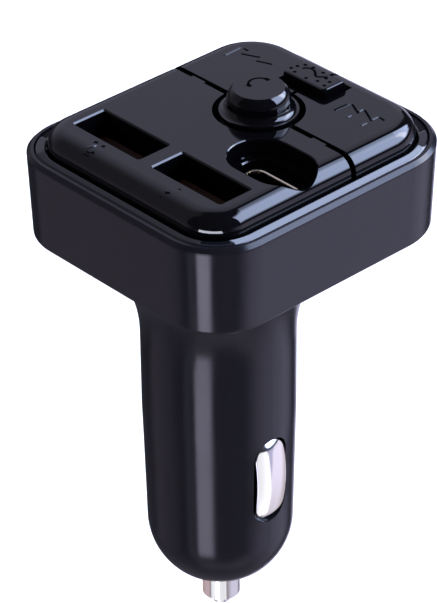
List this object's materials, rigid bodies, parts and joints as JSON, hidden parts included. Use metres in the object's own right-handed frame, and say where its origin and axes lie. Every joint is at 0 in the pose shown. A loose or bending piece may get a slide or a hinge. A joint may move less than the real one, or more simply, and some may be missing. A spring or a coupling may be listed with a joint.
{
  "type": "car fm transmitter",
  "caption": "Black car FM transmitter: round plug with side and tip contacts, flat rounded head with light ring, USB ports, track keys, light key and a turn-and-press knob.",
  "frame": {"origin": "on the plug's axis, at the middle of its cylindrical barrel's top stretch, where the plug enters the socket", "axes": "+Z along the plug's axis from its tip up through the head; +Y from the port side of the head to the key side; +X to the right when the ports are nearest"},
  "size_m": [0.04, 0.0448, 0.079],
  "materials": {
    "housing_black": "satin moulded",
    "face_black": "high gloss",
    "key_black": "high gloss",
    "knob_black": "high gloss",
    "ring_smoke": "smoked clear",
    "frame_plastic": "moulded",
    "board_green": "solder mask",
    "strip_white": "flexible board",
    "lamp_yellow": "clear over phosphor",
    "switch_steel": "plated",
    "plunger_brown": "moulded",
    "mic_can": "satin",
    "port_steel": "plated",
    "tongue_orange": "moulded",
    "pin_gold": "gold plated",
    "port_c_steel": "plated",
    "tongue_black": "moulded",
    "module_blue": "solder mask",
    "shield_steel": "tinned",
    "chip_black": "moulded",
    "coil_copper": "enamelled copper wire",
    "cap_sleeve": "shrink sleeve",
    "seat_brass": "plain",
    "spring_steel": "drawn wire",
    "contact_nickel": "bright nickel"
  },
  "bodies": {
    "unit": {"housing": "housing_black", "light_ring": "ring_smoke", "led_strip": "strip_white", "ring_leds": "lamp_yellow", "face_plate": "face_black", "key_frame": "frame_plastic", "key_board": "board_green", "prev_switch": "switch_steel", "next_switch": "switch_steel", "light_switch": "switch_steel", "knob_switch": "switch_steel", "microphone": "mic_can", "port_board": "board_green", "usb_a_shell_left": "port_steel", "usb_a_shell_right": "port_steel", "usb_a_tongue_left": "tongue_orange", "usb_a_tongue_right": "tongue_orange", "usb_a_pins_left": "pin_gold", "usb_a_pins_right": "pin_gold", "usb_c_shell": "port_c_steel", "usb_c_tongue": "tongue_black", "radio_module": "module_blue", "radio_shield": "shield_steel", "board_link": "chip_black", "power_board": "board_green", "coil": "coil_copper", "input_capacitor": "cap_sleeve", "output_capacitor": "cap_sleeve", "converter_chip": "chip_black", "spring_seat": "seat_brass", "tip_spring": "spring_steel"},
    "prev_key": {"prev_key": "key_black", "prev_plunger": "plunger_brown"},
    "next_key": {"next_key": "key_black", "next_plunger": "plunger_brown"},
    "light_key": {"light_key": "key_black", "light_plunger": "plunger_brown"},
    "knob_stem": {"knob_plunger": "plunger_brown"},
    "knob": {"knob": "knob_black"},
    "tip": {"tip_contact": "contact_nickel"},
    "left_contact": {"side_contact_left": "contact_nickel"},
    "right_contact": {"side_contact_right": "contact_nickel"}
  },
  "joints": [
    {"name": "prev_key_tilt", "type": "hinge", "parent": "unit", "child": "prev_key", "pos_m": [-0.0112, 0.00895, 0.0296], "axis": [-1, 0, 0], "range_deg": [0, 2], "stiffness_Nm_per_rad": 2, "springref_deg": -0.29},
    {"name": "next_key_tilt", "type": "hinge", "parent": "unit", "child": "next_key", "pos_m": [0.0112, 0.00895, 0.0296], "axis": [-1, 0, 0], "range_deg": [0, 2], "stiffness_Nm_per_rad": 2, "springref_deg": -0.29},
    {"name": "light_key_press", "type": "slide", "parent": "unit", "child": "light_key", "axis": [0, 0, -1], "range_m": [0, 0.0003], "stiffness_N_per_m": 6000, "springref_m": -0.0001},
    {"name": "knob_press", "type": "slide", "parent": "unit", "child": "knob_stem", "axis": [0, 0, -1], "range_m": [0, 0.0003], "stiffness_N_per_m": 8000, "springref_m": -0.0001},
    {"name": "knob_turn", "type": "hinge", "parent": "knob_stem", "child": "knob", "pos_m": [0, 0.0075, 0.03], "axis": [0, 0, 1], "continuous": true},
    {"name": "tip_press", "type": "slide", "parent": "unit", "child": "tip", "axis": [0, 0, 1], "range_m": [0, 0.0024], "stiffness_N_per_m": 2000, "springref_m": -0.002, "deforming": ["tip_spring"]},
    {"name": "side_contact_left_flex", "type": "hinge", "parent": "unit", "child": "left_contact", "pos_m": [-0.0083, 0, -0.0046], "axis": [0, -1, 0], "range_deg": [0, 4], "stiffness_Nm_per_rad": 0.6, "springref_deg": -1.72},
    {"name": "side_contact_right_flex", "type": "hinge", "parent": "unit", "child": "right_contact", "pos_m": [0.0083, 0, -0.0046], "axis": [0, 1, 0], "range_deg": [0, 4], "stiffness_Nm_per_rad": 0.6, "springref_deg": -1.72}
  ]
}
